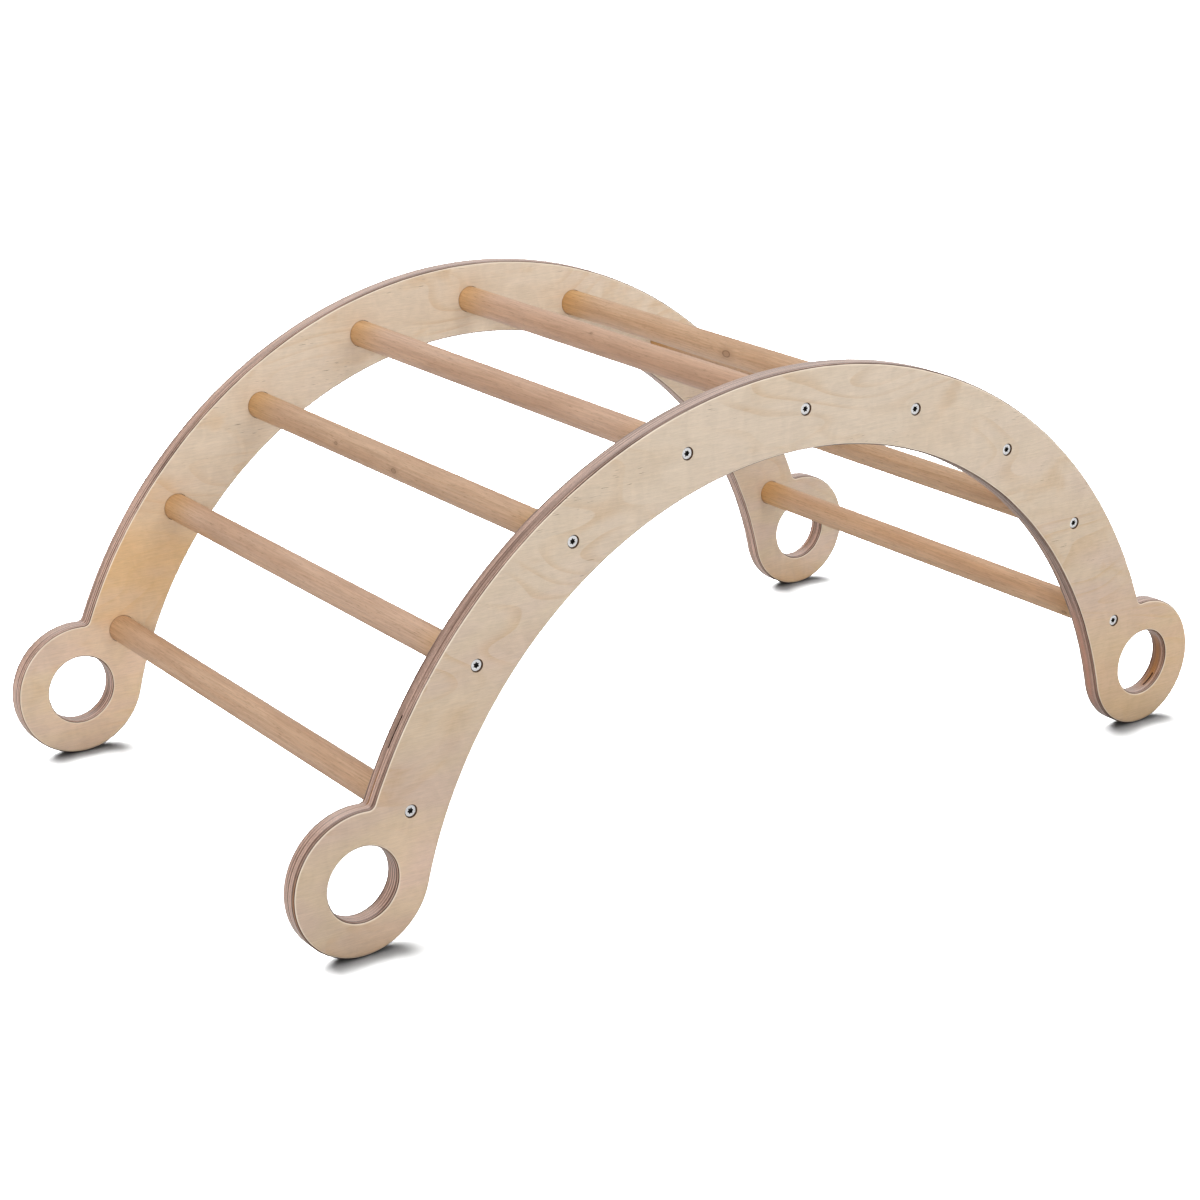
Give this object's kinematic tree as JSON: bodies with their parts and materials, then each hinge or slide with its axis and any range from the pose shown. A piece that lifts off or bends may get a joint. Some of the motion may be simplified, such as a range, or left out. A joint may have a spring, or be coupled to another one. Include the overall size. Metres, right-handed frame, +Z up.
{
  "type": "climbing arch rocker",
  "caption": "Free-standing child's climbing arch: curved plywood side panels with ring feet joined by round rungs. Turned over, it rocks like a seesaw.",
  "frame": {"origin": "on the floor, under the middle of the arch", "axes": "+X along the arch from its left feet to its right feet, +Y across it from the near panel to the far panel, +Z up"},
  "size_m": [0.982, 0.528, 0.4095],
  "materials": {
    "birch_plywood": "satin clear lacquer on pale birch veneer, banded plywood edges",
    "beech_dowel": "satin, sanded beech",
    "zinc_plated_steel": "bright zinc plating"
  },
  "bodies": {
    "root": {"side_panel_near": "birch_plywood", "side_panel_far": "birch_plywood", "rung_1": "beech_dowel", "rung_2": "beech_dowel", "rung_3": "beech_dowel", "rung_4": "beech_dowel", "rung_5": "beech_dowel", "rung_6": "beech_dowel", "rung_7": "beech_dowel", "rung_8": "beech_dowel", "rung_9": "beech_dowel", "screw_near_1": "zinc_plated_steel", "screw_near_2": "zinc_plated_steel", "screw_near_3": "zinc_plated_steel", "screw_near_4": "zinc_plated_steel", "screw_near_5": "zinc_plated_steel", "screw_near_6": "zinc_plated_steel", "screw_near_7": "zinc_plated_steel", "screw_near_8": "zinc_plated_steel", "screw_near_9": "zinc_plated_steel", "screw_far_1": "zinc_plated_steel", "screw_far_2": "zinc_plated_steel", "screw_far_3": "zinc_plated_steel", "screw_far_4": "zinc_plated_steel", "screw_far_5": "zinc_plated_steel", "screw_far_6": "zinc_plated_steel", "screw_far_7": "zinc_plated_steel", "screw_far_8": "zinc_plated_steel", "screw_far_9": "zinc_plated_steel"}
  },
  "joints": []
}
